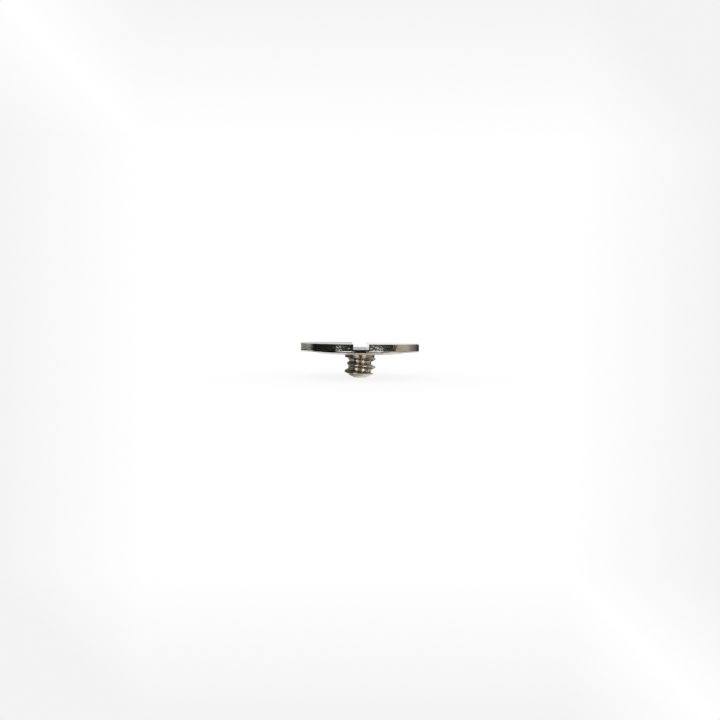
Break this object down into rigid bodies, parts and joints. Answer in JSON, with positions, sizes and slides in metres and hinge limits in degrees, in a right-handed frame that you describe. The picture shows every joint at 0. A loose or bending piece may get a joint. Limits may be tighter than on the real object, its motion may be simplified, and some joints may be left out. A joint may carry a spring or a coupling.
{
  "type": "watch movement screw",
  "caption": "Watch movement screw with a wide thin slotted head, a raised seat, a plain neck and a short left-hand thread with a chamfered end.",
  "frame": {"origin": "centre of the seat's flat ring under the head, on the screw's axis", "axes": "+Z along the screw's axis towards the head, +Y along the screwdriver slot"},
  "size_m": [0.0038, 0.0036, 0.001],
  "materials": {
    "polished_steel": "hardened steel, mirror polished",
    "turned_steel": "hardened steel, fine turned rings",
    "threaded_steel": "hardened steel, cut thread with tool marks, slightly straw coloured"
  },
  "bodies": {
    "root": {"slotted_head": "polished_steel", "bearing_shoulder": "turned_steel", "threaded_shank": "threaded_steel"}
  },
  "joints": []
}
